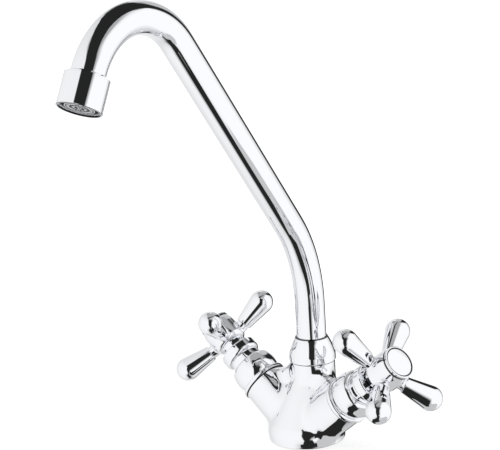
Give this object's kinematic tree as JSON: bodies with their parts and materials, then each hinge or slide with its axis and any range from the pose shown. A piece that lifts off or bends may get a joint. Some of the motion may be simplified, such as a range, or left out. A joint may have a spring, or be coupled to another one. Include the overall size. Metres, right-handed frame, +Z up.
{
  "type": "mixer tap",
  "caption": "Chromed kitchen mixer tap with a tall swivelling spout, an aerator and a cross handle on an angled valve at each side.",
  "frame": {"origin": "middle of the round base on the worktop's surface", "axes": "+Z up from the worktop, -Y to the front, where the spout points apart from its swing of 8 degrees, +X to the cold side"},
  "size_m": [0.1729, 0.2242, 0.2774],
  "materials": {
    "chrome": "polished chrome plate",
    "brass": "machined",
    "steel": "plain stainless",
    "ceramic": "lapped alumina",
    "rubber": "moulded, slightly matt",
    "white_plastic": "moulded",
    "grey_plastic": "moulded"
  },
  "bodies": {
    "tap_body": {"mixer_body": "chrome", "base_gasket": "rubber", "spout_nut": "chrome", "cold_seat_seal": "rubber", "cold_fixed_disc": "ceramic", "cold_cartridge_body": "brass", "cold_cartridge_oring": "rubber", "cold_bonnet": "chrome", "hot_seat_seal": "rubber", "hot_fixed_disc": "ceramic", "hot_cartridge_body": "brass", "hot_cartridge_oring": "rubber", "hot_bonnet": "chrome"},
    "spout": {"spout_tube": "chrome", "spout_tail": "brass", "spout_orings": "rubber", "spout_slip_ring": "white_plastic", "outlet_bush": "chrome", "aerator_shell": "chrome", "aerator_washer": "rubber", "aerator_insert": "grey_plastic", "aerator_mesh": "steel"},
    "cold_handle": {"cold_cross_handle": "chrome", "cold_index_cap": "chrome", "cold_handle_screw": "steel", "cold_spindle": "brass", "cold_moving_disc": "ceramic", "cold_spindle_oring": "rubber", "cold_spindle_clip": "steel"},
    "hot_handle": {"hot_cross_handle": "chrome", "hot_index_cap": "chrome", "hot_handle_screw": "steel", "hot_spindle": "brass", "hot_moving_disc": "ceramic", "hot_spindle_oring": "rubber", "hot_spindle_clip": "steel"}
  },
  "joints": [
    {"name": "spout_swivel", "type": "hinge", "parent": "tap_body", "child": "spout", "pos_m": [0, 0.0085, 0.0465], "axis": [0, 0, 1], "continuous": true},
    {"name": "cold_handle_turn", "type": "hinge", "parent": "tap_body", "child": "cold_handle", "pos_m": [0.05519, 0, 0.04644], "axis": [0.7976, 0, 0.6032], "range_deg": [0, 90]},
    {"name": "hot_handle_turn", "type": "hinge", "parent": "tap_body", "child": "hot_handle", "pos_m": [-0.05519, 0, 0.04644], "axis": [-0.7976, 0, 0.6032], "range_deg": [0, 90]}
  ]
}
